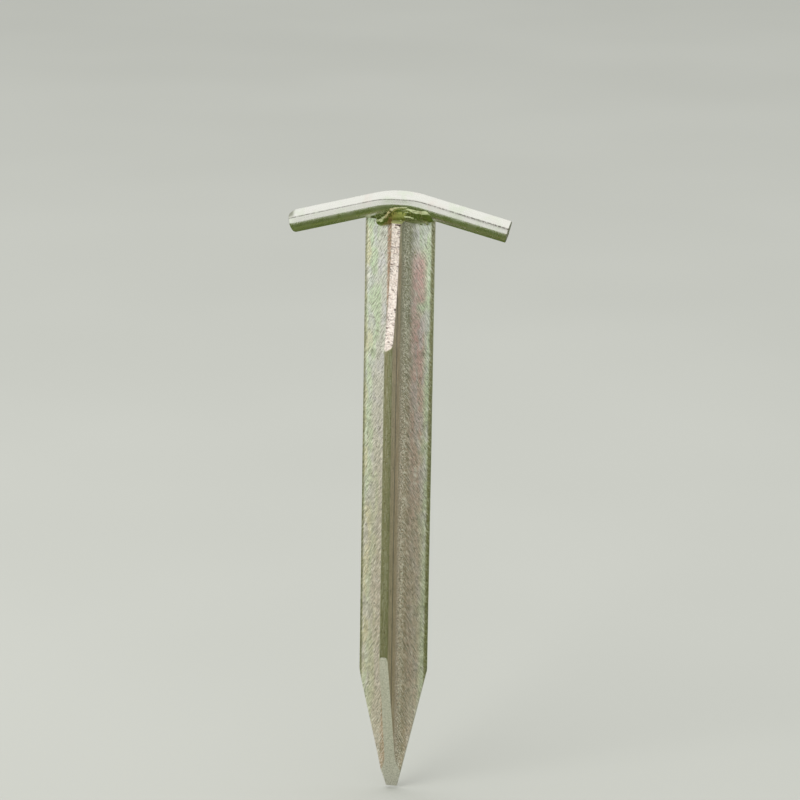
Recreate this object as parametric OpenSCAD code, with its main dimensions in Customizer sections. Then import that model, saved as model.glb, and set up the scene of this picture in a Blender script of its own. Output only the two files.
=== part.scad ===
// Welded steel tent stake: a hot-rolled T-section shaft with a bent round bar across its top.
// Millimetres, +Z up. X runs along the handle, -Y is the front, where the stem of the T points.
// The origin is at the middle of the bounding box's floor, which is the level of the points.

/* [Shaft] */
// Width of the T-section's flange
flange_w = 25; // [20:1:30]
// Height of the T-section, from the back of the flange to the tip of the stem
section_h = 25; // [20:1:30]
// Thickness of the flange and of the stem, halfway out
wall = 3.5; // [3:0.1:4]
// Radius of the fillets where the stem meets the flange
root_r = 3.5; // [2:0.5:4]
// Radius of the flange's rounded front edges
flange_toe_r = 1.75; // [0.5:0.25:2]
// Radius of the stem's rounded edges
stem_toe_r = 0.9; // [0.2:0.1:1.2]
// Rolling taper of each inner face, in percent
taper = 2; // [0:0.5:3]

/* [Point] */
// Height over which the flange narrows to its point
flange_point_h = 46; // [25:1:70]
// Width of the flange at its blunt tip
flange_tip_w = 4; // [2:0.5:8]
// Thickness of the flange at its blunt tip
flange_tip_t = 1; // [0.5:0.25:3]
// Height at which the stem reaches its full depth
stem_point_h = 58; // [40:1:80]

/* [Stem cut-out] */
// Radius of the concave cut that lowers the stem below the handle
cut_r = 98; // [70:1:160]
// How far the stem still stands out of the flange at the top of the shaft
stem_top_h = 8.1; // [5:0.1:12]
// Angle between the cut and the flange at the top of the shaft
cut_angle = 3.5; // [0:0.5:12]
// Sideways tilt of the cut across the thickness of the stem
cut_tilt = 16; // [0:1:25]

/* [Handle] */
// Height of the whole stake
total_h = 225; // [180:5:300]
// Span of the handle from end to end
handle_w = 80; // [64:1:100]
// Diameter of the handle's round bar
bar_d = 8; // [6.5:0.5:10]
// Angle at which each arm falls away from the horizontal
droop = 14.5; // [8:0.5:18]
// Bend radius at the centreline of the bar
bend_r = 32; // [18:1:34]
// Width of the broken edge around each end of the bar
end_chamfer = 0.4; // [0.1:0.1:0.8]

/* [Welds] */
// Radius of the weld bead left of the stem, and of the lower run on its right
left_bead_r = 2; // [1.5:0.1:2.4]
// Radius of the weld bead over the top of the stem
stem_bead_r = 2.7; // [2:0.1:3]
// Radius of the upper run of the weld bead right of the stem
right_bead_r = 2.5; // [1.8:0.1:2.8]
// Radius of the weld bead in the groove behind the handle
rear_bead_r = 2.1; // [1.5:0.1:2.2]

/* [Hidden] */
$fn = 64;

bar_r = bar_d / 2;
back_y = section_h / 2;              // back face of the flange, the plane that the bar is flush with
slope = taper / 100;
lean = atan(slope);
front_root_y = back_y - wall - slope * flange_w / 4;   // flange's front face carried to the middle
tip_y = -section_h / 2;                                // tip of the stem
stem_half = wall / 2;                                  // half the stem's thickness at mid height
stem_mid_y = (back_y - wall + tip_y) / 2;

bar_y = back_y - bar_r;
bar_z = total_h - bar_r;             // centreline of the bar at the middle of the bend
bend_z = bar_z - bend_r;             // centre of the bend
arm_start = bend_r * sin(droop);     // where an arm begins, along X
arm_start_z = bend_z + bend_r * cos(droop);
arm_l = (handle_w / 2 - arm_start - (bar_r - end_chamfer) * sin(droop)) / cos(droop);

seat_gap = 0.05;                     // the bar rests on the flange's two top corners
flange_corner_x = flange_w / 2;
arm_under_z = arm_start_z - bar_r / cos(droop) - (flange_corner_x - arm_start) * tan(droop);
shaft_top = arm_under_z - seat_gap;

split = 2.3;                         // the front beads meet at this distance from the middle
joint_gap = 0.02;                    // and stay this far apart there
over = 1;                            // how far cutters run past what they cut
over_angle = 1;                      // how far the bend runs past the middle before it is trimmed

// The front beads run beside the bar's axis, and their ends are shares of the flange's width
bead_y = bar_y - 2;
rear_y = back_y - 2.3;
left_x = -0.26 * flange_w;
right_x = 0.376 * flange_w;
rear_x = 0.344 * flange_w;
rear_z = shaft_top + 1.9;

// Height of the flange's front face and half thickness of the stem, at a given place
function flange_front_y(x) = front_root_y + slope * x;
function stem_half_at(y) = stem_half + slope * (y - stem_mid_y);

// Centre of the root fillet on the right: root_r away from both tapered faces
function fillet_x() = let (k = root_r / cos(lean))
    (stem_half_at(front_root_y) + k - slope * k) / (1 - slope * slope);
function fillet_y() = flange_front_y(fillet_x()) - root_r / cos(lean);

// Right side of the T's outline, from its back corner to its tip, with the inner corner bevelled
side = [
    [flange_w / 2, back_y],
    [flange_w / 2, flange_front_y(flange_w / 2)],
    [fillet_x() - root_r * sin(lean), fillet_y() + root_r * cos(lean)],
    [fillet_x() - root_r * cos(lean), fillet_y() + root_r * sin(lean)],
    [stem_half_at(tip_y), tip_y]
];

module outline() {
    polygon([
        for (p = side) p,
        for (i = [len(side) - 1:-1:0]) [-side[i][0], side[i][1]]
    ]);
}

// Round hollow of the fillet between the stem and the flange
module root_hollow() {
    translate([fillet_x(), fillet_y()]) circle(r = root_r);
}

// Rectangle between two corners, less a circle
module round_corner(low, high, centre, r) {
    difference() {
        translate(low) square(high - low);
        translate(centre) circle(r = r);
    }
}

// Waste outside the flange's rounded front edge
module flange_toe_waste() {
    x = flange_w / 2 - flange_toe_r;
    y = flange_front_y(x) + flange_toe_r / cos(lean);
    low = [x + flange_toe_r * sin(lean), front_root_y - over];
    round_corner(low, [flange_w / 2 + over, y], [x, y], flange_toe_r);
}

// Waste outside the stem's rounded edge
module stem_toe_waste() {
    y = tip_y + stem_toe_r;
    x = stem_half_at(y) - stem_toe_r / cos(lean);
    high = [stem_half + over, y - stem_toe_r * sin(lean)];
    round_corner([x, tip_y - over], high, [x, y], stem_toe_r);
}

// What is taken off the outline on its right side
module side_waste() {
    root_hollow();
    flange_toe_waste();
    stem_toe_waste();
}

module section() {
    difference() {
        outline();
        side_waste();
        mirror([1, 0]) side_waste();
    }
}

// Corner of the flange that is cropped away beside the point
module flange_crop() {
    translate([0, back_y + over, 0]) rotate([90, 0, 0])
        linear_extrude(height = section_h + 2 * over)
            polygon([
                [flange_tip_w / 2, 0],
                [flange_w / 2, flange_point_h],
                [flange_w / 2 + over, flange_point_h],
                [flange_w / 2 + over, -over],
                [flange_tip_w / 2, -over]
            ]);
}

// What is cropped away on a slant, from the stem down to the flange's tip
module stem_crop() {
    translate([-flange_w / 2, 0, 0]) rotate([90, 0, 90])
        linear_extrude(height = flange_w)
            polygon([
                [back_y - flange_tip_t, -over],
                [back_y - flange_tip_t, 0],
                [tip_y, stem_point_h],
                [tip_y - over, stem_point_h],
                [tip_y - over, -over]
            ]);
}

// Concave cut under the handle, deepest on the left of the stem
module stem_cut() {
    top_y = back_y - wall - stem_top_h;
    translate([0, top_y, shaft_top]) rotate([0, 0, -cut_tilt])
        translate([0, -cut_r * cos(cut_angle), cut_r * sin(cut_angle)])
            rotate([0, 90, 0]) cylinder(h = 2 * flange_w, r = cut_r, center = true, $fn = 360);
}

module shaft_metal() {
    difference() {
        linear_extrude(height = shaft_top) section();
        flange_crop();
        mirror([1, 0, 0]) flange_crop();
        stem_crop();
        stem_cut();
    }
}

module shaft() {
    color([0.74, 0.75, 0.68]) shaft_metal();
}

// Frame of the bend: its centre is the origin, and the right arm leaves its circle along -Y
module in_bend_frame() {
    translate([0, bar_y, bend_z]) rotate([90, 0, 0]) rotate([0, 0, 90 - droop]) children();
}

module bend(angle) {
    rotate_extrude(angle = angle) translate([bend_r, 0]) circle(r = bar_r);
}

// Right half of the bar: a straight arm with a broken edge and its share of the bend
module half_bar() {
    bend(droop + over_angle);
    translate([bend_r, 0, 0]) rotate([90, 0, 0]) {
        cylinder(h = arm_l - end_chamfer, r = bar_r);
        translate([0, 0, arm_l - end_chamfer])
            cylinder(h = end_chamfer, r1 = bar_r, r2 = bar_r - end_chamfer);
    }
}

// The same half in its place, ending on the middle plane
module placed_half_bar() {
    intersection() {
        in_bend_frame() half_bar();
        translate([0, -section_h, 0]) cube([handle_w, 2 * section_h, total_h + over]);
    }
}

// Room that the bar takes up, as cutters for the welds
module bar_room() {
    in_bend_frame() bend(2 * droop);
    for (side_turn = [0, 1]) mirror([side_turn, 0, 0])
        in_bend_frame() translate([bend_r, bar_r, 0]) rotate([90, 0, 0]) cylinder(h = arm_l, r = bar_r);
}

module handle() {
    color([0.86, 0.86, 0.82]) {
        placed_half_bar();
        mirror([1, 0, 0]) placed_half_bar();
    }
}

// Bead with blunt round ends between two places
module bead(from, to, r) {
    run = to - from;
    along = norm(run);
    translate(from) rotate([0, acos(run[2] / along), atan2(run[1], run[0])])
        rotate_extrude() polygon([
            for (a = [-90:30:0]) [r * cos(a), r * sin(a)],
            for (a = [0:30:90]) [r * cos(a), along + r * sin(a)]
        ]);
}

// Space that a bead may fill, between two values of X and two of Y, less the bar and the shaft
module weld_room(from_x, to_x, from_y, to_y) {
    difference() {
        intersection() {
            children();
            translate([from_x, from_y, shaft_top - section_h / 2])
                cube([to_x - from_x, to_y - from_y, section_h]);
        }
        bar_room();
        shaft_metal();
    }
}

module front_room(from_x, to_x) {
    weld_room(from_x, to_x, -section_h, bar_y - joint_gap) children();
}

module weld_front_left() {
    color([0.45, 0.50, 0.34])
    front_room(-flange_w, -split) {
        bead([left_x, bead_y + 0.8, shaft_top], [-split, bead_y + 0.1, shaft_top + 1.4], left_bead_r);
    }
}

module weld_over_stem() {
    color([0.50, 0.56, 0.38])
    front_room(joint_gap - split, split - joint_gap) {
        bead([-split, bead_y - 0.2, shaft_top + 2.1], [1.6, bead_y - 0.5, shaft_top + 2.7], stem_bead_r);
    }
}

module weld_front_right() {
    color([0.40, 0.45, 0.30])
    front_room(split, flange_w) {
        bead([split, bead_y - 0.1, shaft_top + 2.6], [right_x, bead_y + 0.3, shaft_top + 1.2], right_bead_r);
        bead([split, bead_y + 1.1, shaft_top + 0.8], [right_x, bead_y + 1.1, shaft_top + 0.6], left_bead_r);
    }
}

module weld_rear() {
    color([0.48, 0.52, 0.40])
    weld_room(-flange_w, flange_w, bar_y + joint_gap, section_h) {
        bead([-rear_x, rear_y, rear_z], [rear_x, rear_y, rear_z], rear_bead_r);
    }
}

shaft();
handle();
weld_front_left();
weld_over_stem();
weld_front_right();
weld_rear();
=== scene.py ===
"""Welded steel tent stake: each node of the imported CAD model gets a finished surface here."""

import itertools
import math
import random

import bmesh
import bpy
import numpy as np
from mathutils import Matrix, Vector


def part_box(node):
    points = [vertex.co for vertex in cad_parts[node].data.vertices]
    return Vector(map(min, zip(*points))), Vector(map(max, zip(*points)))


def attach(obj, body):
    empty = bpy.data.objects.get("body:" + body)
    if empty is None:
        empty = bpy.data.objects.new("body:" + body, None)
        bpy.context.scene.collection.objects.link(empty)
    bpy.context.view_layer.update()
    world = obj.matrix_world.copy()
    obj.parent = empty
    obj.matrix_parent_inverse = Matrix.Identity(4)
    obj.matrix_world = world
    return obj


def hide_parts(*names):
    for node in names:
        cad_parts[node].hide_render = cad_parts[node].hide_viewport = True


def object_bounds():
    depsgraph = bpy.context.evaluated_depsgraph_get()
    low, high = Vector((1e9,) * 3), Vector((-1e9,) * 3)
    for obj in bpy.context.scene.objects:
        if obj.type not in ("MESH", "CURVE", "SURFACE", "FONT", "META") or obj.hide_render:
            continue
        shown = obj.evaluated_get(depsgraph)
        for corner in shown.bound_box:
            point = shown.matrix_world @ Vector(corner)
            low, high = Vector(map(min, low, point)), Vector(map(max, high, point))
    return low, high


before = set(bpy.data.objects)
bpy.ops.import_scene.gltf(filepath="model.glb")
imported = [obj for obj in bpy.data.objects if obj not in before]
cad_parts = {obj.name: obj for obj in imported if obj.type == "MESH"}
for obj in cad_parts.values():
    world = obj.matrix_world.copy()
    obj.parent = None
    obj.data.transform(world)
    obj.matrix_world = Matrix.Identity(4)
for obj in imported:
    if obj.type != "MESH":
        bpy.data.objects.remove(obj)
cad_low, cad_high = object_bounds()

# Sizes of the stake are in millimetres, and are divided by METRE where they go into a mesh.
# The floor, card, lights and camera are in metres.
METRE = 1000
shaft_low, shaft_high = (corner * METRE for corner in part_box("shaft"))
bar_low, bar_high = (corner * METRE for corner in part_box("handle"))

# Shaft: a T-section, as in the CAD
FLANGE_W = shaft_high.x - shaft_low.x
BACK_Y = shaft_high.y
TIP_Y = shaft_low.y
SHAFT_TOP = shaft_high.z
WALL = 3.5
TAPER = 0.02
ROOT_R = 3.5
FLANGE_TOE_R = 1.75
STEM_TOE_R = 0.9
BACK_EDGE_R = 0.35

# Concave cut in the stem, and the planes that crop the point
CUT_R = 98
CUT_ANGLE = math.radians(3.5)
CUT_TILT = math.radians(16)
STEM_TOP_H = 8.1
CUT_EDGE_R = 0.22
CUT_REACH = 46
FLANGE_POINT_H = 46
FLANGE_TIP_W = 4
STEM_POINT_H = 58
TIP_T = 1

# Handle: a round bar with one bend
BAR_R = (bar_high.y - bar_low.y) / 2
BAR_Y = (bar_high.y + bar_low.y) / 2
BEND_R = 32
DROOP = math.radians(14.5)
END_R = 0.4
BEND_Z = bar_high.z - BAR_R - BEND_R
ARM_START = BEND_R * math.sin(DROOP)
ARM_L = (bar_high.x - ARM_START - (BAR_R - END_R) * math.sin(DROOP)) / math.cos(DROOP)
BEND_L = BEND_R * DROOP
HALF_RUN = BEND_L + ARM_L


# ---------------------------------------------------------------- noise

def lattice(cells, seed):
    """A repeatable value from 0 to 1 for each whole-numbered cell."""
    h = cells[..., 0] * 374761393 + cells[..., 1] * 668265263 + cells[..., 2] * 1103515245 + seed * 12345701
    h = h & 0xFFFFFFFF
    h = ((h ^ (h >> 13)) * 1274126177) & 0xFFFFFFFF
    return ((h ^ (h >> 16)) & 0xFFFF) / 0xFFFF


def soft_noise(points, size, seed):
    """Smooth noise from -1 to 1, with lumps of about the given size."""
    place = points / size
    low = np.floor(place).astype(np.int64)
    share = place - low
    share = share * share * (3 - 2 * share)
    total = np.zeros(points.shape[:-1])
    for corner in itertools.product((0, 1), repeat=3):
        step = np.array(corner)
        weight = np.prod(np.where(step == 1, share, 1 - share), axis=-1)
        total += weight * lattice(low + step, seed)
    return total * 2 - 1


def pits(points, size, seed):
    """From 0 to 1: round dents of about the given size, scattered one to a cell."""
    place = points / size
    low = np.floor(place).astype(np.int64)
    nearest = np.full(points.shape[:-1], 9.0)
    for corner in itertools.product((-1, 0, 1), repeat=3):
        cell = low + np.array(corner)
        centre = np.stack([cell[..., k] + lattice(cell, seed + k) for k in range(3)], axis=-1)
        nearest = np.minimum(nearest, np.linalg.norm(place - centre, axis=-1))
    return np.clip(1 - nearest / 0.45, 0, 1) ** 0.7


def ease(value, start, end):
    """Smooth step from 0 at start to 1 at end."""
    share = np.clip((value - start) / (end - start), 0, 1)
    return share * share * (3 - 2 * share)


# ---------------------------------------------------------------- meshes

def grid_normals(grid):
    """Unit normals of a grid of rings: outwards on the handle, whose rings run anticlockwise seen from
    the last one, and into the metal on the shaft, whose rings run clockwise."""
    around = np.roll(grid, -1, axis=1) - np.roll(grid, 1, axis=1)
    along = np.gradient(grid, axis=0)
    normal = np.cross(around, along)
    return normal / np.maximum(np.linalg.norm(normal, axis=-1, keepdims=True), 1e-9)


def tube_faces(rings, columns):
    """Quads between closed rings of points."""
    faces = []
    for i in range(rings - 1):
        for j in range(columns):
            k = (j + 1) % columns
            faces.append((i * columns + j, i * columns + k, (i + 1) * columns + k, (i + 1) * columns + j))
    return faces


def build(name, points, faces, materials, sharp_angle=40):
    """Object in metres from points in millimetres, smooth apart from edges sharper than the angle."""
    mesh = bpy.data.meshes.new(name)
    mesh.from_pydata((np.asarray(points).reshape(-1, 3) / METRE).tolist(), [], faces)
    for material in materials:
        mesh.materials.append(material)
    piece = bpy.data.objects.new(name, mesh)
    bpy.context.scene.collection.objects.link(piece)
    finish_shading(mesh, sharp_angle)
    return piece


def finish_shading(mesh, sharp_angle):
    mesh.polygons.foreach_set("use_smooth", [True] * len(mesh.polygons))
    mesh.set_sharp_from_angle(angle=math.radians(sharp_angle))
    mesh.update()


def add_attribute(piece, name, values):
    """Stores one number, or one vector, for each vertex."""
    values = np.asarray(values, np.float32)
    kind, field = ("FLOAT_VECTOR", "vector") if values.ndim > 1 else ("FLOAT", "value")
    piece.data.attributes.new(name, kind, "POINT").data.foreach_set(field, values.ravel())


def stand_for(piece, slot, *nodes):
    """The piece rides on the part's only body and stands for those CAD nodes."""
    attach(piece, "root")
    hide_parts(*nodes)


# ---------------------------------------------------------------- shaft

LEAN = math.atan(TAPER)
FRONT_ROOT_Y = BACK_Y - WALL - TAPER * FLANGE_W / 4
STEM_MID_Y = (BACK_Y - WALL + TIP_Y) / 2


def flange_front(x):
    return FRONT_ROOT_Y + TAPER * np.abs(x)


def stem_half(y):
    return WALL / 2 + TAPER * (y - STEM_MID_Y)


def cut_front(x, z):
    """Y of the concave cut's surface, which is tilted so that it goes deeper on the left."""
    to_centre = CUT_R * math.cos(CUT_ANGLE)
    centre_x = -to_centre * math.sin(CUT_TILT)
    centre_y = BACK_Y - WALL - STEM_TOP_H - to_centre * math.cos(CUT_TILT)
    centre_z = SHAFT_TOP + CUT_R * math.sin(CUT_ANGLE)
    reach = np.sqrt(np.maximum(CUT_R**2 - (z - centre_z) ** 2, 0))
    front = centre_y + (reach - (x - centre_x) * math.sin(CUT_TILT)) / math.cos(CUT_TILT)
    return np.where(z > centre_z - CUT_R, front, TIP_Y - 1)


def stem_front(x, z):
    """Y of the stem's front at a place, and how far the cut stands behind the rolled tip there."""
    half = stem_half(TIP_Y)
    past_toe = np.clip((np.abs(x) - (half - STEM_TOE_R)) / STEM_TOE_R, 0, 1)
    rolled = TIP_Y + STEM_TOE_R * (1 - np.sqrt(1 - past_toe**2))
    past_edge = np.clip((np.abs(x) - (half - CUT_EDGE_R)) / CUT_EDGE_R, 0, 1)
    cut = cut_front(x, z) + CUT_EDGE_R * (1 - np.sqrt(1 - past_edge**2))
    return np.maximum(rolled, cut), cut - rolled


def arc(centre, r, start, end, count):
    """Points on an arc, both ends included, with angles in degrees."""
    angles = np.radians(np.linspace(start, end, count))
    return [(centre[0] + r * math.cos(a), centre[1] + r * math.sin(a)) for a in angles]


def side_columns(z, sign):
    """The section's outline at each height on one side, from the back's middle to the tip's middle."""
    edge_x = FLANGE_W / 2
    toe_x = edge_x - FLANGE_TOE_R
    toe_y = flange_front(toe_x) + FLANGE_TOE_R / math.cos(LEAN)
    k = ROOT_R / math.cos(LEAN)
    root_x = (stem_half(FRONT_ROOT_Y) + k - TAPER * k) / (1 - TAPER**2)
    root_y = flange_front(root_x) - k
    fixed = [(edge_x * s, BACK_Y) for s in np.linspace(0, 1, 13, endpoint=False)]
    fixed += arc((edge_x - BACK_EDGE_R, BACK_Y - BACK_EDGE_R), BACK_EDGE_R, 90, 0, 4)
    fixed += [(edge_x, toe_y)]
    fixed += arc((toe_x, toe_y), FLANGE_TOE_R, -12, -90, 7)
    front_x = np.linspace(toe_x, root_x, 18)[1:-1]
    fixed += [(x, flange_front(x)) for x in front_x]
    fixed += arc((root_x, root_y), ROOT_R, 90, 180, 11)
    columns = [(np.full_like(z, x), np.full_like(z, y)) for x, y in fixed if x < edge_x - 1e-6 or y < BACK_Y]

    half = stem_half(TIP_Y)
    side_end, _ = stem_front(sign * half, z)
    for s in np.linspace(0, 1, 20)[1:]:
        y = root_y + (side_end - root_y) * s
        columns.append((stem_half(y) + (half - stem_half(side_end)) * s**8, y))
    for s in [0.97, 0.93, 0.86, 0.77, 0.67, 0.56, 0.45, 0.34, 0.22, 0.11, 0]:
        x = np.full_like(z, half * s)
        columns.append((x, stem_front(sign * x, z)[0]))
    return [(sign * x, y) for x, y in columns]


# Distances between the shaft's rings: in the point, in the plain length and along the cut
POINT_STEP = 0.9
PLAIN_STEP = 0.8
CUT_STEP = 0.2


def shaft_rings():
    """Heights of the shaft's rings, closest together where the cut and its texture are."""
    cut_end = SHAFT_TOP - CUT_REACH
    point_end = STEM_POINT_H + 2
    return np.concatenate([
        np.arange(0, point_end, POINT_STEP),
        np.arange(point_end, cut_end, PLAIN_STEP),
        np.arange(cut_end, SHAFT_TOP - CUT_EDGE_R, CUT_STEP),
        [SHAFT_TOP - CUT_EDGE_R],
    ])


def shaft_grid(z):
    right = side_columns(z, 1)
    left = side_columns(z, -1)
    ring = right + left[-2:0:-1]
    return np.stack([np.stack([x, y, z], axis=-1) for x, y in ring], axis=1)


# Runs of zinc on the right half of the flange: X, Z, half width and half length
SMEARS = [(7.2, 121.5, 0.7, 2.2), (6.9, 117.5, 0.9, 0.8), (7.6, 133.5, 1.3, 0.8), (9.4, 135, 0.8, 0.5)]


# Heights of the shaft's relief. The shaft's normals point into the metal, so a term that is taken away,
# as the dents, cracks and notch are, stands proud of the cut.
ROLLED_H = 0.022
FINE_H = 0.007
TORN_H = 0.05
DENT_H = 0.13
DENT_SIZE = 0.5
CRACK_H = 0.1
NOTCH_H = 0.35
NOTCH_BELOW_TOP = 0.5
NOTCH_W = 0.16
SMEAR_H = 0.06


def cut_mask(grid):
    """1 on the concave cut, 0 elsewhere."""
    front, depth = stem_front(grid[..., 0], grid[..., 2])
    on_stem = np.abs(grid[..., 0]) <= stem_half(TIP_Y) + 0.01
    on_front = on_stem & (grid[..., 1] <= front + CUT_EDGE_R + 0.03)
    return np.where(on_front, ease(depth, -0.02, 0.15), 0)


def smear_mask(grid):
    """1 in the middle of each run of zinc, fading to 0 around it, with a broken outline."""
    smear = np.zeros(grid.shape[:-1])
    for x, z, wide, long in SMEARS:
        away = ((grid[..., 0] - x) / wide) ** 2 + ((grid[..., 2] - z) / long) ** 2
        smear = np.maximum(smear, np.exp(-(away**2)) * (grid[..., 1] < BACK_Y - 1))
    return smear * ease(soft_noise(grid, 0.9, 14), -0.8, 0.3)


def roughen_shaft(grid):
    """Rolled unevenness all over and coarse texture on the sheared cut. Returns the grid and its masks."""
    cut = cut_mask(grid)
    smear = smear_mask(grid)
    rolled = ROLLED_H * soft_noise(grid, np.array([5, 5, 14]), 3)
    rolled += FINE_H * soft_noise(grid, np.array([1.3, 1.3, 2.6]), 4)

    # More of the dents are left out on the right half
    cells = np.floor(grid / [0.9, 3, 0.9]).astype(np.int64)
    kept = lattice(cells, 21) > 0.1 + 0.25 * (grid[..., 0] > 0)
    dents = pits(grid * [1, 0.6, 1], DENT_SIZE, 11)
    cracks = np.clip(soft_noise(grid, np.array([1.3, 4, 0.3]), 12) - 0.38, 0, 1) / 0.5
    torn = TORN_H * soft_noise(grid, np.array([0.5, 3, 0.35]), 8)
    torn = torn - DENT_H * dents * kept - CRACK_H * cracks
    torn += TORN_H * soft_noise(grid, np.array([2.5, 6, 1.4]), 9)

    below_top = SHAFT_TOP - grid[..., 2]
    notch = np.exp(-(((below_top - NOTCH_BELOW_TOP) / NOTCH_W) ** 2))
    notch = notch * ease(grid[..., 0], -0.6, 0) * cut
    dark = np.clip(dents * kept + cracks + 2 * notch, 0, 1) * cut
    relief = rolled * (1 - cut) + torn * cut - NOTCH_H * notch
    relief = relief + SMEAR_H * smear
    masks = {"cut": cut, "pit": dark, "smear": smear}
    return grid + grid_normals(grid) * relief[..., None], masks


def add_top_ring(grid):
    """Adds the shaft's last ring, at the height of its top and wider than the rest by the edge's radius."""
    normal = grid_normals(grid)
    top = grid[-1] - normal[-1] * [CUT_EDGE_R, CUT_EDGE_R, 0]
    top[:, 2] = SHAFT_TOP - 0.03 + 0.03 * soft_noise(top, 1.2, 31)
    return np.concatenate([grid, top[None]])


def crop(bm, point, normal):
    """Cuts the mesh with a plane, drops the side that normal points to and closes the cut with slot 1."""
    geometry = bm.verts[:] + bm.edges[:] + bm.faces[:]
    made = bmesh.ops.bisect_plane(
        bm, geom=geometry, dist=1e-7, plane_co=point, plane_no=normal, clear_outer=True
    )
    edges = [e for e in made["geom_cut"] if isinstance(e, bmesh.types.BMEdge) and e.is_boundary]
    for face in bmesh.ops.holes_fill(bm, edges=edges, sides=0)["faces"]:
        face.material_index = 1


def crop_point(mesh):
    """Cuts the shaft's lower end to its point: two planes for the flange and a slanted one for the stem."""
    bm = bmesh.new()
    bm.from_mesh(mesh)
    run = (FLANGE_W - FLANGE_TIP_W) / 2
    for sign in (1, -1):
        place = Vector((sign * FLANGE_TIP_W / 2, 0, 0)) / METRE
        crop(bm, place, Vector((sign * FLANGE_POINT_H, 0, -run)))
    place = Vector((0, BACK_Y - TIP_T, 0)) / METRE
    crop(bm, place, Vector((0, -STEM_POINT_H, -(BACK_Y - TIP_T - TIP_Y))))
    bmesh.ops.recalc_face_normals(bm, faces=bm.faces[:])
    bm.to_mesh(mesh)
    bm.free()


def make_shaft():
    grid, masks = roughen_shaft(shaft_grid(shaft_rings()))
    grid = add_top_ring(grid)
    rings, columns = grid.shape[:2]
    faces = tube_faces(rings, columns)
    faces.append(tuple(range(columns))[::-1])
    faces.append(tuple((rings - 1) * columns + j for j in range(columns)))
    piece = build("shaft_section", grid, faces, [plated_section(), sheared_steel()])
    for name, mask in masks.items():
        add_attribute(piece, name, np.concatenate([mask, mask[-1:]]).ravel())
    piece.data.polygons[len(faces) - 1].material_index = 1
    crop_point(piece.data)
    finish_shading(piece.data, 40)
    stand_for(piece, "plated_section", "shaft")


# ---------------------------------------------------------------- handle

# The facet pressed along the bar, between two angles that go from the bar's top to its front
FLAT_LOW, FLAT_HIGH = math.radians(62.5), math.radians(90)

# How far round the bend moves the facet's edge, and how far from the edge and the bend's middle that fades
FLAT_SHIFT = math.radians(7)
FLAT_SHIFT_SPREAD = 0.7
FLAT_SHIFT_L = 6

CREASE_W = 0.17
CREASE_DEPTH = 0.07

# Left end: its top is rolled over and its underside is rounded
ROLL_OVER_L = 3.4
ROLL_OVER_H = 1.15
LOWER_R = 1.3

# Mesh of the bar: columns round it, distance between rings, and the rings near an end as shares of its
# rounding. The rings of an end face are shares of the bar's radius.
BAR_COLUMNS = 144
BAR_STEP = 0.3
CLOSE_RINGS = np.array([0, 0.04, 0.1, 0.18, 0.3, 0.45, 0.65, 0.9])
FACE_RINGS = (0.88, 0.72, 0.55, 0.38, 0.2)
FACE_SINK = 0.06


def bar_frames(run):
    """Centre, outward direction in the XZ plane and direction of travel at each distance along the bar."""
    turn = np.clip(run / BEND_R, -DROOP, DROOP)
    past = run - turn * BEND_R
    out = np.stack([np.sin(turn), np.zeros_like(turn), np.cos(turn)], axis=-1)
    travel = np.stack([np.cos(turn), np.zeros_like(turn), -np.sin(turn)], axis=-1)
    centre = np.array([0, BAR_Y, BEND_Z]) + BEND_R * out + past[:, None] * travel
    return centre, out, travel


def bar_radius(run, angle):
    """Radius at each distance along the bar and angle from its top towards its front."""
    middle, half = (FLAT_LOW + FLAT_HIGH) / 2, (FLAT_HIGH - FLAT_LOW) / 2
    across = np.abs(angle - middle)
    flat = BAR_R * math.cos(half) / np.cos(np.minimum(across, half))
    radius = np.minimum(BAR_R, np.where(across < half, flat, BAR_R))
    spots = np.stack([run, 0 * run, 0 * run], axis=-1)
    strength = 0.55 + 0.45 * soft_noise(spots, 2.1, 5) + 0.3 * soft_noise(spots, 0.6, 6)
    groove = np.exp(-(((angle - FLAT_LOW) * BAR_R / CREASE_W) ** 2))
    radius = radius - CREASE_DEPTH * np.clip(strength, 0.1, 1.2) * groove
    top = np.clip(np.cos(angle), 0, 1)
    low = np.clip(-np.cos(angle), 0, 1)
    left = run + HALF_RUN
    roll = np.clip(1 - left / ROLL_OVER_L, 0, 1) ** 2
    nip = np.clip(1 - left / LOWER_R, 0, 1)
    radius = radius - ROLL_OVER_H * roll * top**1.4 - LOWER_R * (1 - np.sqrt(1 - nip**2)) * low
    both = np.clip(1 - (HALF_RUN - np.abs(run)) / END_R, 0, 1)
    return radius - END_R * (1 - np.sqrt(1 - both**2))


def torn_mask(run, angle):
    """1 where shearing tore the bar: over the top of its left end, and round the rims of both."""
    top = ease(run + HALF_RUN, 3.0, 1.4) * ease(np.cos(angle), 0.35, 0.8)
    return np.maximum(top, ease(HALF_RUN - np.abs(run), 0.25, 0.05))


def bar_relief(run, angle, torn):
    wrap = np.stack([run, 4 * np.cos(angle), 4 * np.sin(angle)], axis=-1)
    relief = 0.012 * soft_noise(wrap, np.array([9, 2.2, 2.2]), 41)
    relief = relief + 0.004 * soft_noise(wrap, np.array([6, 0.5, 0.5]), 42)
    return relief + torn * (0.07 * soft_noise(wrap, 0.45, 43) - 0.05)


def face_rings(centre, rim, outward):
    """Rings of a rough end face, from the rim inwards."""
    rings = []
    for share in FACE_RINGS:
        ring = centre + (rim - centre) * share
        bulge = 0.10 * soft_noise(ring, 1.1, 51) + 0.05 * soft_noise(ring, 0.4, 52) - 0.05
        rings.append(ring + outward * bulge[:, None] - outward * FACE_SINK)
    return np.stack(rings)


def with_faces(middle, left, right):
    """Values of the bar's grid, with rows for the rings of its left and right end faces."""
    rows = (len(FACE_RINGS), BAR_COLUMNS)
    return np.concatenate([np.broadcast_to(left, rows), middle, np.broadcast_to(right, rows)])


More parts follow.
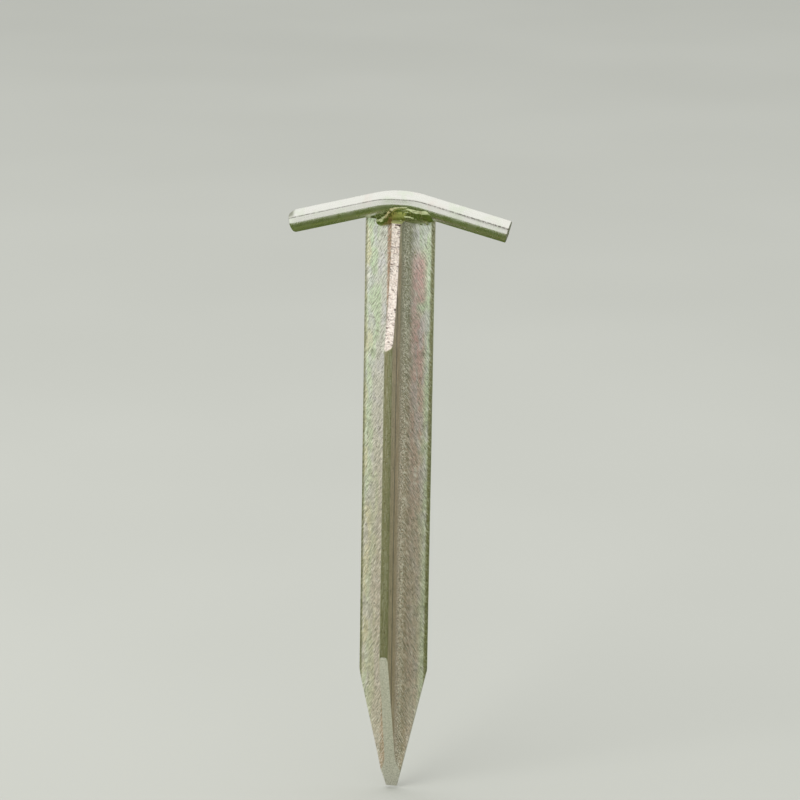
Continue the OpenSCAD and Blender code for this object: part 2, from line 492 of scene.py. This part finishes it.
def turn_faces_outwards(mesh):
    bm = bmesh.new()
    bm.from_mesh(mesh)
    bmesh.ops.recalc_face_normals(bm, faces=bm.faces[:])
    bm.to_mesh(mesh)
    bm.free()


def make_handle():
    steps = int(2 * HALF_RUN / BAR_STEP)
    left_run = CLOSE_RINGS * LOWER_R - HALF_RUN
    right_run = HALF_RUN - END_R * CLOSE_RINGS[::-1]
    run = np.concatenate([left_run, np.linspace(-HALF_RUN + LOWER_R, HALF_RUN - END_R, steps), right_run])
    angle = np.linspace(0, 2 * math.pi, BAR_COLUMNS, endpoint=False)
    run_grid, flat_angle = np.meshgrid(run, angle, indexing="ij")
    radius = bar_radius(run_grid, flat_angle)
    near_flat = np.exp(-(((flat_angle - FLAT_LOW) / FLAT_SHIFT_SPREAD) ** 2))
    angle_grid = flat_angle + FLAT_SHIFT * np.exp(-((run_grid / FLAT_SHIFT_L) ** 2)) * near_flat

    centre, out, travel = bar_frames(run)
    front = np.array([0, -1, 0])
    up = np.cos(angle_grid)[..., None]
    ahead = np.sin(angle_grid)[..., None]
    grid = centre[:, None] + radius[..., None] * (up * out[:, None] + ahead * front)
    torn = torn_mask(run_grid, angle_grid)
    grid = grid + grid_normals(grid) * bar_relief(run_grid, angle_grid, torn)[..., None]
    left_face = face_rings(centre[0], grid[0], -travel[0])[::-1]
    right_face = face_rings(centre[-1], grid[-1], travel[-1])
    grid = np.concatenate([left_face, grid, right_face])

    # The last two points are the middles of the end faces
    rings = len(grid)
    points = np.concatenate([grid.reshape(-1, 3), grid[0].mean(0)[None], grid[-1].mean(0)[None]])
    faces = tube_faces(rings, BAR_COLUMNS)
    first, last = rings * BAR_COLUMNS, rings * BAR_COLUMNS + 1
    base = (rings - 1) * BAR_COLUMNS
    faces += [(first, (j + 1) % BAR_COLUMNS, j) for j in range(BAR_COLUMNS)]
    faces += [(last, base + j, base + (j + 1) % BAR_COLUMNS) for j in range(BAR_COLUMNS)]
    piece = build("handle_bar", points, faces, [plated_bar()])
    turn_faces_outwards(piece.data)
    finish_shading(piece.data, 10.5)

    face_run = with_faces(run_grid, -HALF_RUN, HALF_RUN)
    face_angle = with_faces(angle_grid, angle, angle)
    coordinates = np.stack([face_run, BAR_R * np.cos(face_angle), BAR_R * np.sin(face_angle)], axis=-1)
    middles = np.array([[-HALF_RUN, 0, 0], [HALF_RUN, 0, 0]])
    add_attribute(piece, "run", np.concatenate([coordinates.reshape(-1, 3), middles]))
    add_attribute(piece, "torn", np.concatenate([with_faces(torn, 1, 1).ravel(), [1, 1]]))
    # Painted shade along the crease under the facet: wider below its edge and towards the right end
    below = (flat_angle - FLAT_LOW) * BAR_R
    spread = CREASE_W * (1 + 2.2 * ease(run_grid, -2, 36) * (below > 0))
    crease_shade = np.exp(-((below / spread) ** 2))
    add_attribute(piece, "crease_shade", np.concatenate([with_faces(crease_shade, 0, 0).ravel(), [0, 0]]))
    stand_for(piece, "plated_bar", "handle")


# ---------------------------------------------------------------- welds

# A weld is made of runs of overlapping drops, melted together. A station of a run gives X, Y and Z of the
# drop's middle, its long and short half widths across the joint, and how far it leans forwards, in degrees.
LEFT_BODY = [
    (-7.2, 7.8, 213.8, 1.5, 1.4, 30),
    (-6.2, 7.6, 213.9, 1.9, 1.6, 30),
    (-5.0, 7.4, 214.4, 2.2, 1.6, 32),
    (-3.8, 7.2, 215.2, 2.8, 1.6, 32),
    (-2.2, 7.0, 216.5, 3.5, 1.5, 30),
]
LEFT_ROOT = [
    (-7.6, 9.2, 214.9, 1.1, 1.2, 0),
    (-6.0, 8.9, 215.6, 1.7, 1.6, 0),
    (-2.4, 8.6, 216.2, 2.2, 1.8, 0),
]
RIGHT_ROOT = [
    (10.6, 8.4, 214.9, 1.0, 1.1, 0),
    (11.7, 9.4, 214.8, 0.7, 0.9, 0),
]
LEFT_RIDGE = [
    (-6.8, 6.6, 214.6, 0.35, 0.35, 0),
    (-5.2, 5.95, 215.1, 0.4, 0.4, 0),
    (-4.0, 5.6, 216.3, 0.4, 0.4, 0),
    (-2.3, 5.1, 218.1, 0.4, 0.4, 0),
]
STEM_BODY = [
    (-2.6, 7.0, 216.5, 3.5, 1.5, 30),
    (-1.2, 6.9, 217.0, 3.7, 1.5, 30),
    (0.4, 6.9, 217.0, 3.8, 1.5, 30),
    (2.7, 6.9, 216.9, 3.7, 1.6, 30),
]
STEM_RIDGE = [
    (-2.5, 5.2, 217.9, 0.4, 0.4, 0),
    (-1.4, 4.85, 218.8, 0.4, 0.4, 0),
    (-0.1, 4.75, 219.5, 0.4, 0.4, 0),
    (2.8, 4.7, 219.6, 0.35, 0.35, 0),
]
RIGHT_BODY = [
    (2.2, 6.9, 216.9, 3.7, 1.6, 30),
    (4.0, 6.9, 216.7, 3.6, 1.6, 31),
    (6.0, 6.9, 216.4, 3.4, 1.6, 32),
    (8.6, 6.8, 216.3, 3.2, 1.7, 33),
]
RIGHT_LOBE = [
    (8.9, 6.7, 216.4, 3.1, 1.8, 36),
    (10.1, 6.6, 216.5, 3.1, 1.9, 36),
    (11.2, 6.8, 216.4, 2.4, 1.6, 34),
]
UPPER_FOLD = [
    (2.2, 4.75, 219.5, 0.35, 0.35, 0),
    (3.6, 4.7, 218.8, 0.4, 0.4, 0),
    (5.6, 4.85, 217.9, 0.42, 0.42, 0),
    (7.8, 5.0, 217.5, 0.35, 0.35, 0),
]
LOWER_FOLD = [
    (2.4, 5.5, 216.2, 0.45, 0.45, 0),
    (4.6, 5.55, 215.9, 0.5, 0.45, 0),
    (7.4, 5.95, 215.3, 0.4, 0.4, 0),
]
REAR_BODY = [
    (-9.6, 10.3, 215.4, 1.3, 1.2, -20),
    (-7.0, 10.3, 216.1, 2.2, 1.9, -30),
    (-2.5, 10.2, 216.6, 2.6, 2.0, -30),
    (2.0, 10.2, 216.6, 2.6, 2.0, -30),
    (6.5, 10.3, 216.2, 2.3, 1.9, -30),
    (9.6, 10.3, 215.4, 1.3, 1.2, -20),
]
DROP_STEP = 0.5
DROP_HALF_L = 1.1
MELT_VOXEL = 0.12
MELT_ROUNDS = 6
FLOW_H = 0.075
RIPPLE_H = 0.035

# Loose drops: X, Y, Z and radius
STEM_DROP = (1.55, 1.6, 215.5, 0.3)
DRIPS = [(7.7, 8.7, 213.35, 0.5), (9.9, 8.7, 213.4, 0.55)]
SPATTER_COUNT = 9
SPATTER_Y = 8.95
SPATTER_RADII = [0.14, 0.18, 0.26]


def ellipsoid(bm, centre, half_sizes, lean):
    move = Matrix.Translation(centre)
    rotate = Matrix.Rotation(math.radians(lean), 4, "X")
    scale = Matrix.Diagonal((*half_sizes, 1))
    bmesh.ops.create_icosphere(bm, subdivisions=4, radius=1, matrix=move @ rotate @ scale)


def lay_run(bm, stations, pick):
    """Lays overlapping drops from one station to the next, each a little off its place and size."""
    stations = np.array(stations, float)
    for x in np.arange(stations[0, 0], stations[-1, 0] + DROP_STEP / 2, DROP_STEP):
        values = (np.interp(x, stations[:, 0], stations[:, k]) for k in range(1, 6))
        y, z, long_half, short_half, lean = values
        grow = 1 + pick.uniform(-0.03, 0.03)
        place = (x, y + pick.uniform(-0.05, 0.05), z + pick.uniform(-0.05, 0.05))
        ellipsoid(bm, place, (min(DROP_HALF_L, long_half), short_half * grow, long_half * grow), lean)


def melt(name, bm):
    """Object whose mesh is the outside of all the closed shapes in the bmesh, with their joints smoothed."""
    mesh = bpy.data.meshes.new(name)
    bm.to_mesh(mesh)
    bm.free()
    piece = bpy.data.objects.new(name, mesh)
    bpy.context.scene.collection.objects.link(piece)
    remesh = piece.modifiers.new("melt", "REMESH")
    remesh.mode, remesh.voxel_size = "VOXEL", MELT_VOXEL
    settle = piece.modifiers.new("settle", "SMOOTH")
    settle.factor, settle.iterations = 0.5, MELT_ROUNDS
    evaluated = piece.evaluated_get(bpy.context.evaluated_depsgraph_get())
    piece_mesh = bpy.data.meshes.new_from_object(evaluated)
    piece.modifiers.clear()
    piece.data = piece_mesh
    bpy.data.meshes.remove(mesh)
    piece_mesh.name = name
    return piece


def make_bead(name, node, metal, runs, seed, drops=()):
    """One bead, melted from its runs and loose drops, with flow lines and ripples on its surface."""
    pick = random.Random(seed)
    bm = bmesh.new()
    for stations in runs:
        lay_run(bm, stations, pick)
    for x, y, z, r in drops:
        ellipsoid(bm, (x, y, z), (r, r, r), 0)
    piece = melt(name, bm)
    mesh = piece.data
    points = np.array([v.co for v in mesh.vertices])
    normals = np.array([v.normal for v in mesh.vertices])
    flow = soft_noise(points, np.array([3.2, 0.7, 0.8]), seed)
    flow = flow + 0.5 * soft_noise(points, np.array([1.4, 0.5, 0.45]), seed + 1)
    ripple = soft_noise(points, np.array([0.55, 2.4, 2.4]), seed + 2)
    points = points + normals * (FLOW_H * flow + RIPPLE_H * ripple)[:, None]
    mesh.vertices.foreach_set("co", (points / METRE).ravel())
    mesh.materials.clear()
    mesh.materials.append(metal)
    finish_shading(mesh, 80)
    stand_for(piece, "plated_weld", node)


def spatter(pick):
    """Small drops that the welding threw onto the flange, right of the stem."""
    drops = []
    for _ in range(SPATTER_COUNT):
        x = pick.uniform(2.9, 11.5)
        z = pick.uniform(201, 212.5)
        drops.append((x, SPATTER_Y, z, pick.choice(SPATTER_RADII)))
    return drops


def make_welds():
    metal = plated_weld()
    thrown = spatter(random.Random(7))
    right = [RIGHT_BODY, RIGHT_LOBE, UPPER_FOLD, LOWER_FOLD, RIGHT_ROOT]
    make_bead("bead_front_left", "weld_front_left", metal, [LEFT_BODY, LEFT_RIDGE, LEFT_ROOT], 61)
    make_bead("bead_over_stem", "weld_over_stem", metal, [STEM_BODY, STEM_RIDGE], 62, [STEM_DROP])
    make_bead("bead_front_right", "weld_front_right", metal, right, 63, DRIPS + thrown)
    make_bead("bead_rear", "weld_rear", metal, [REAR_BODY], 64)


# ---------------------------------------------------------------- materials

class Shader:
    """A material whose nodes are added one by one. Inputs are given by socket name, as values or sockets."""

    def __init__(self, name):
        self.material = bpy.data.materials.new(name)
        self.material.use_nodes = True
        self.tree = self.material.node_tree
        self.surface = self.tree.nodes["Principled BSDF"]

    def node(self, kind, inputs=None, **settings):
        made = self.tree.nodes.new("ShaderNode" + kind)
        for key, value in settings.items():
            setattr(made, key, value)
        for key, value in (inputs or {}).items():
            self.set(made.inputs[key], value)
        return made

    def set(self, socket, value):
        if isinstance(value, bpy.types.NodeSocket):
            self.tree.links.new(value, socket)
        else:
            socket.default_value = value

    def math(self, operation, a, b=0.0, clamp=False):
        return self.node("Math", {0: a, 1: b}, operation=operation, use_clamp=clamp).outputs[0]

    def range(self, value, low, high, to_low=0.0, to_high=1.0):
        inputs = {"Value": value, "From Min": low, "From Max": high, "To Min": to_low, "To Max": to_high}
        return self.node("MapRange", inputs, interpolation_type="SMOOTHSTEP").outputs[0]

    def mix(self, share, a, b, blend="MIX"):
        made = self.node("Mix", data_type="RGBA", blend_type=blend)
        self.set(made.inputs["Factor"], share)
        self.set(made.inputs["A"], a)
        self.set(made.inputs["B"], b)
        return made.outputs["Result"]

    def object_mm(self):
        """Object coordinates in millimetres."""
        place = self.node("TexCoord").outputs["Object"]
        return self.node("VectorMath", {0: place, 1: (METRE,) * 3}, operation="MULTIPLY").outputs[0]

    def noise(self, vector, scale, detail=3.0, roughness=0.55, distortion=0.0):
        inputs = {"Vector": vector, "Scale": scale, "Detail": detail}
        inputs.update({"Roughness": roughness, "Distortion": distortion})
        return self.node("TexNoise", inputs).outputs[0]

    def stretch(self, vector, size, turn=(0, 0, 0)):
        """Coordinates turned, then divided by the size that one unit of pattern has along each axis."""
        turned = self.node("Mapping", {"Vector": vector, "Rotation": turn}).outputs[0]
        return self.node("VectorMath", {0: turned, 1: size}, operation="DIVIDE").outputs[0]

    def attribute(self, name, output="Fac"):
        return self.node("Attribute", attribute_name=name).outputs[output]

    def bump(self, height, strength, distance, normal=None):
        inputs = {"Height": height, "Strength": strength, "Distance": distance}
        if normal:
            inputs["Normal"] = normal
        return self.node("Bump", inputs).outputs[0]

    def finish(self, colour, roughness, normal, metallic=1.0):
        values = {"Base Color": colour, "Roughness": roughness, "Normal": normal, "Metallic": metallic}
        for name, value in values.items():
            self.set(self.surface.inputs[name], value)
        return self.material


def rgb(r, g, b):
    return (r, g, b, 1)


def blotch(s, place, size, seed, low, high):
    """A mask of soft patches of about the given size along each axis."""
    offset = (seed * 17.3, seed * 5.1, seed * 29.7)
    moved = s.node("VectorMath", {0: place, 1: offset}, operation="ADD").outputs[0]
    return s.range(s.noise(s.stretch(moved, size), 1, 2, distortion=0.3), low, high)


def passivated(s, place, pale, green, rose, share=1.0):
    """Pale zinc with the drifting green and rose tints of its passivation."""
    colour = s.mix(s.math("MULTIPLY", blotch(s, place, (6, 6, 14), 1, 0.45, 0.65), share), pale, green)
    return s.mix(s.math("MULTIPLY", blotch(s, place, (7, 7, 26), 2, 0.52, 0.7), share), colour, rose)


def plated_section():
    s = Shader("plated_section")
    place = s.object_mm()
    x, y, z = s.node("SeparateXYZ", {0: place}).outputs
    beside = s.math("ABSOLUTE", x)
    folded = s.node("CombineXYZ", {0: beside, 1: y, 2: z}).outputs[0]

    # Tints run in bands along the section, and the bands wander
    on_right = s.range(x, -0.5, 0.5)
    wander = s.noise(s.stretch(place, (5, 5, 22)), 1, 3)
    spread = s.range(beside, 4.5, 8, 0.35, 2.0)
    band = s.math("ADD", beside, s.math("MULTIPLY", s.range(wander, 0.3, 0.7, -1, 1), spread))
    specks = s.noise(place, 1.5, 3, 0.7)
    # Painted shade and reflection: the right flange beside the stem is darker olive, browner lower down,
    # where the stem shades it and is mirrored in it. The brown beside the stem on the left is a tint.
    stem_shade_right = s.mix(s.range(z, 190, 120), rgb(0.34, 0.34, 0.23), rgb(0.44, 0.36, 0.26))
    inner_tint_and_stem_shade = s.mix(on_right, rgb(0.46, 0.28, 0.20), stem_shade_right)
    ragged = s.math("ADD", beside, s.range(specks, 0.3, 0.7, -0.9, 0.9))
    rear = s.range(y, BACK_Y - 1.6, BACK_Y - 0.8)
    not_rear = s.range(rear, 0, 1, 1, 0)
    left_edge = s.range(s.math("ADD", beside, s.range(specks, 0.3, 0.7, -0.3, 0.3)), 3.8, 4.5)
    edge = s.node("Mix", {0: on_right, 2: left_edge, 3: s.range(ragged, 3.8, 6.6)}).outputs[0]
    edge = s.math("MAXIMUM", edge, rear)
    colour = s.mix(edge, inner_tint_and_stem_shade, rgb(0.76, 0.77, 0.72))
    colour = s.mix(s.range(band, 6, 8.5), colour, rgb(0.70, 0.83, 0.62))
    outer = s.mix(on_right, rgb(0.82, 0.80, 0.56), rgb(0.70, 0.83, 0.60))
    colour = s.mix(s.range(band, 9.8, 11.8), colour, outer)
    right = s.math("MULTIPLY", s.range(x, 3.4, 6.6), s.range(x, 11, 8.4))
    window = s.math("MULTIPLY", s.range(z, 206, 198), s.range(z, 70, 175, 0.45, 1))
    window = s.math("MULTIPLY", window, not_rear)
    rose = s.math("MULTIPLY", right, window)
    rose = s.math("MULTIPLY", rose, blotch(s, place, (6, 8, 14), 3, 0.26, 0.52))
    colour = s.mix(s.math("MULTIPLY", rose, 0.95), colour, rgb(0.80, 0.52, 0.52))
    lavender = blotch(s, place, (3, 6, 12), 4, 0.48, 0.62)
    lavender = s.math("MULTIPLY", lavender, edge)
    colour = s.mix(s.math("MULTIPLY", lavender, 0.6), colour, rgb(0.74, 0.73, 0.80))
    aged = s.math("MULTIPLY", s.range(z, 195, 80), s.range(beside, 11.5, 7, 0.3, 0.62))
    colour = s.mix(aged, colour, rgb(0.56, 0.45, 0.32))

    # Fine hairlines slant away from the stem across the flange, and run along the stem and the back
    stem = s.range(y, 4.5, 2)
    upright = s.math("MAXIMUM", stem, rear)
    hairs = s.noise(s.stretch(folded, (0.25, 1, 2.6), (0, math.radians(30), 0)), 1, 2, 0.65)
    strokes = s.noise(s.stretch(folded, (0.36, 1, 5), (0, math.radians(24), 0)), 1, 2, 0.5)
    grain = s.noise(s.stretch(place, (0.4, 0.4, 5)), 1, 3, 0.65)
    hairs = s.node("Mix", {0: upright, 2: hairs, 3: grain}).outputs[0]
    strokes = s.math("MULTIPLY", strokes, s.range(upright, 0, 1, 1, 0.6))
    glints = s.noise(place, 2.9, 2, 0.6)
    fillet = s.math("MULTIPLY", s.range(x, 1.7, 2.1), s.range(x, 4.4, 3.0))
    fillet = s.math("MULTIPLY", fillet, not_rear)

    # The stem's sides and rolled tip, the flange's toes, a painted dark line where the stem side's
    # reflections meet, and a painted highlight on the tip's left corner
    flank = s.mix(s.range(grain, 0.38, 0.62), rgb(0.84, 0.74, 0.56), rgb(0.50, 0.42, 0.30))
    sides = s.mix(s.range(y, -12.3, -11.6), rgb(0.46, 0.45, 0.27), flank)
    toe = s.math("MULTIPLY", s.range(beside, 11.0, 11.9), not_rear)
    toe_share = s.math("MULTIPLY", toe, s.range(x, 0, 1, 0.35, 0.85))
    colour = s.mix(toe_share, colour, rgb(0.44, 0.41, 0.20))
    colour = s.mix(s.math("MULTIPLY", stem, 0.8), colour, sides)
    # Painted shade: a dark line along the stem's right side, where its reflections of the flange and of the
    # fillet meet
    from_line = s.math("ABSOLUTE", s.math("ADD", y, 3.7))
    painted_reflection_seam = s.math("MULTIPLY", s.range(from_line, 1.4, 0.5), s.range(x, 0, 1))
    colour = s.mix(s.math("MULTIPLY", painted_reflection_seam, 0.8), colour, rgb(0.13, 0.09, 0.06))
    # Painted highlight: a bright patch on the tip's left corner
    corner = s.math("MULTIPLY", s.range(x, -1.1, -1.35), s.range(y, -11.2, -12.1))
    colour = s.mix(s.math("MULTIPLY", corner, 0.7), colour, rgb(0.95, 0.93, 0.78))

    # Hairlines, strokes, specks and painted glints go over all of it, and smears of zinc over them
    worn = s.range(stem, 0, 1, 1, 0.45)
    dark_hairs = s.math("MULTIPLY", s.range(hairs, 0.49, 0.62, 0, 0.66), worn)
    colour = s.mix(dark_hairs, colour, rgb(0.24, 0.25, 0.17))
    colour = s.mix(s.range(strokes, 0.55, 0.67, 0, 0.6), colour, rgb(0.19, 0.19, 0.13))
    bright_hairs = s.math("MULTIPLY", s.range(hairs, 0.47, 0.36, 0, 0.6), worn)
    colour = s.mix(bright_hairs, colour, rgb(1.0, 1.0, 0.93))
    colour = s.mix(s.range(specks, 0.58, 0.67, 0, 0.7), colour, rgb(0.15, 0.13, 0.08))
    # Painted highlights: bright glints scattered all over, and a denser column of them along the right fillet
    painted_fillet_glints = s.math("MULTIPLY", fillet, s.range(glints, 0.46, 0.41))
    painted_glints = s.math("ADD", s.range(glints, 0.38, 0.29), painted_fillet_glints, clamp=True)
    colour = s.mix(s.math("MULTIPLY", painted_glints, 0.9), colour, rgb(1.0, 0.98, 0.88))
    colour = s.mix(s.math("MULTIPLY", s.attribute("smear"), 0.7), colour, rgb(0.93, 0.96, 0.90))

    # Fresh steel on the cut
    cut = s.attribute("cut")
    fresh = s.mix(s.range(specks, 0.4, 0.68), rgb(0.84, 0.77, 0.71), rgb(0.64, 0.53, 0.47))
    fresh = s.mix(s.attribute("pit"), fresh, rgb(0.07, 0.04, 0.03))
    colour = s.mix(cut, colour, fresh)

    sleek = s.math("MAXIMUM", toe, s.math("MULTIPLY", stem, s.range(cut, 1, 0)))
    rough = s.range(specks, 0.3, 0.7, 0.40, 0.58)
    rough = s.math("SUBTRACT", rough, s.math("MULTIPLY", sleek, 0.12))
    normal = s.bump(hairs, 0.6, 0.00011)
    normal = s.bump(strokes, 0.4, 0.00011, normal)
    normal = s.bump(specks, 0.5, 0.00014, normal)
    metallic = s.math("ADD", s.math("MULTIPLY", sleek, 0.4), 0.5, clamp=True)
    return s.finish(colour, rough, normal, metallic)


def sheared_steel():
    """The faces of the cropped point, and the shaft's top end, which the welding tinted."""
    s = Shader("sheared_steel")
    place = s.object_mm()
    tears = s.noise(s.stretch(place, (0.5, 0.5, 1.6)), 1, 4, 0.6)
    grains = s.noise(place, 2.2, 3, 0.6)
    colour = s.mix(s.range(grains, 0.35, 0.7), rgb(0.74, 0.72, 0.64), rgb(0.46, 0.45, 0.37))
    height = s.node("SeparateXYZ", {0: place}).outputs[2]
    heated = s.mix(s.range(grains, 0.4, 0.6), rgb(0.58, 0.57, 0.28), rgb(0.40, 0.44, 0.20))
    colour = s.mix(s.range(height, SHAFT_TOP - 4, SHAFT_TOP - 2), colour, heated)
    rough = s.range(tears, 0.3, 0.7, 0.34, 0.55)
    normal = s.bump(tears, 0.5, 0.00015)
    normal = s.bump(grains, 0.4, 0.0001, normal)
    return s.finish(colour, rough, normal, 0.5)


def plated_bar():
    s = Shader("plated_bar")
    place = s.attribute("run", "Vector")
    colour = passivated(s, place, rgb(0.84, 0.84, 0.79), rgb(0.72, 0.80, 0.64), rgb(0.83, 0.76, 0.71), 0.5)
    lines = s.noise(s.stretch(place, (9, 0.22, 0.22)), 1, 3, 0.6)
    grains = s.noise(place, 1.9, 3, 0.6)
    colour = s.mix(s.math("MULTIPLY", s.range(lines, 0.5, 0.8), 0.25), colour, rgb(0.45, 0.45, 0.38))
    # Painted shade: near-black along the crease at the facet's lower edge
    groove = s.math("MULTIPLY", s.attribute("crease_shade"), s.range(grains, 0.35, 0.6, 0.35, 1))
    colour = s.mix(groove, colour, rgb(0.10, 0.09, 0.07))
    torn = s.attribute("torn")
    colour = s.mix(s.math("MULTIPLY", torn, 0.75), colour, rgb(0.25, 0.25, 0.18))
    rough = s.range(s.noise(place, 0.3, 3), 0.3, 0.7, 0.22, 0.34)
    rough = s.math("ADD", rough, s.math("MULTIPLY", torn, 0.25))
    normal = s.bump(lines, 0.3, 0.00006)
    normal = s.bump(grains, 0.15, 0.00006, normal)
    return s.finish(colour, rough, normal)


def plated_weld():
    s = Shader("plated_weld")
    place = s.object_mm()
    colour = passivated(s, place, rgb(0.55, 0.60, 0.34), rgb(0.38, 0.52, 0.18), rgb(0.50, 0.40, 0.20))
    ripples = s.noise(s.stretch(place, (0.45, 1.8, 1.8), (0, 0, math.radians(15))), 1, 2, 0.5, 0.6)
    soot = s.noise(place, 0.9, 3)
    colour = s.mix(s.range(soot, 0.5, 0.75, 0, 0.65), colour, rgb(0.17, 0.15, 0.07))
    rough = s.range(soot, 0.3, 0.7, 0.14, 0.26)
    normal = s.bump(ripples, 0.5, 0.00012)
    return s.finish(colour, rough, normal)


# ---------------------------------------------------------------- stage

FLOOR_R = 30
CARD_R = 0.8


def make_disc(name, radius, height, material):
    bm = bmesh.new()
    place = Matrix.Translation((0, 0, height))
    bmesh.ops.create_circle(bm, cap_ends=True, segments=96, radius=radius, matrix=place)
    mesh = bpy.data.meshes.new(name)
    bm.to_mesh(mesh)
    bm.free()
    mesh.materials.append(material)
    disc = bpy.data.objects.new(name, mesh)
    bpy.context.scene.collection.objects.link(disc)
    return disc


def pale_floor():
    s = Shader("pale_floor")
    place = s.node("TexCoord").outputs["Object"]
    shade = s.noise(place, 2.5, 2)
    colour = s.mix(s.range(shade, 0.3, 0.7), rgb(0.47, 0.48, 0.45), rgb(0.49, 0.50, 0.47))
    grain = s.noise(place, 900, 2)
    s.surface.inputs["Specular IOR Level"].default_value = 0
    return s.finish(colour, 0.9, s.bump(grain, 0.05, 0.0002), metallic=0.0)


def make_floor():
    floor = make_disc("floor", FLOOR_R, -0.001, pale_floor())


def make_light(name, place, target, size, power, colour):
    data = bpy.data.lights.new(name, "AREA")
    data.shape, data.size, data.energy, data.color = "DISK", size, power, colour
    light = bpy.data.objects.new(name, data)
    light.visible_glossy = False
    light.location = place
    light.rotation_euler = (Vector(target) - Vector(place)).to_track_quat("-Z", "Y").to_euler()
    bpy.context.scene.collection.objects.link(light)


def make_lights():
    middle = (0, 0, 0.15)
    make_light("overhead", (-0.2, 0.15, 1.6), middle, 1.3, 4, (1, 1, 1))
    make_light("front_fill", (-1.3, -1.9, 0.95), middle, 1.9, 42, (1, 0.99, 0.95))


def make_world():
    """Even studio light, brighter overhead than at the horizon."""
    world = bpy.data.worlds.new("studio")
    bpy.context.scene.world = world
    world.use_nodes = True
    tree = world.node_tree
    background = tree.nodes["Background"]
    split = tree.nodes.new("ShaderNodeSeparateXYZ")
    tree.links.new(tree.nodes.new("ShaderNodeTexCoord").outputs["Generated"], split.inputs[0])
    ramp = tree.nodes.new("ShaderNodeValToRGB")
    tree.links.new(split.outputs["Z"], ramp.inputs[0])
    low, high = ramp.color_ramp.elements
    low.position, low.color = 0.12, (0.66, 0.67, 0.62, 1)
    high.position, high.color = 0.42, (1, 1, 0.98, 1)
    tree.links.new(ramp.outputs[0], background.inputs["Color"])


def olive_card():
    s = Shader("olive_card")
    patches = s.noise(s.node("TexCoord").outputs["Object"], 9, 3)
    colour = s.mix(s.range(patches, 0.35, 0.65), rgb(0.045, 0.065, 0.012), rgb(0.13, 0.165, 0.04))
    s.set(s.surface.inputs["Base Color"], colour)
    s.surface.inputs["Roughness"].default_value = 1
    return s.material


def make_card():
    """A dark olive card on the floor, which only the metal's reflections see, to give them something dark."""
    card = make_disc("card", CARD_R, -0.0005, olive_card())
    card.visible_camera = card.visible_diffuse = card.visible_shadow = False
    card.visible_transmission = card.visible_volume_scatter = False


# The camera looks from a little to the right of the stem, and from above it.
VIEW_AZIMUTH = math.radians(8.9)
VIEW_ELEVATION = math.radians(14.5)
VIEW_DISTANCE = 1.1885
VIEW_ROLL = math.radians(0.96)
AIM_RIGHT = 0.0026
AIM_BELOW_TOP = 0.0742
LENS = 150
SENSOR_W = 36


def make_camera():
    data = bpy.data.cameras.new("camera")
    data.lens, data.sensor_width = LENS, SENSOR_W
    camera = bpy.data.objects.new("camera", data)
    bpy.context.scene.collection.objects.link(camera)
    flat = math.cos(VIEW_ELEVATION)
    back = Vector((
        math.sin(VIEW_AZIMUTH) * flat, -math.cos(VIEW_AZIMUTH) * flat, math.sin(VIEW_ELEVATION)
    ))
    aim = Vector((AIM_RIGHT, 0, cad_high.z - AIM_BELOW_TOP))
    camera.location = aim + back * VIEW_DISTANCE
    roll = Matrix.Rotation(VIEW_ROLL, 4, "Z")
    camera.rotation_euler = ((-back).to_track_quat("-Z", "Y").to_matrix().to_4x4() @ roll).to_euler()
    data.clip_start, data.clip_end = 0.01, 50
    bpy.context.scene.camera = camera


make_camera()
make_floor()
make_card()
make_lights()
make_world()
bpy.context.scene.view_settings.view_transform = "Standard"
make_shaft()
make_handle()
make_welds()
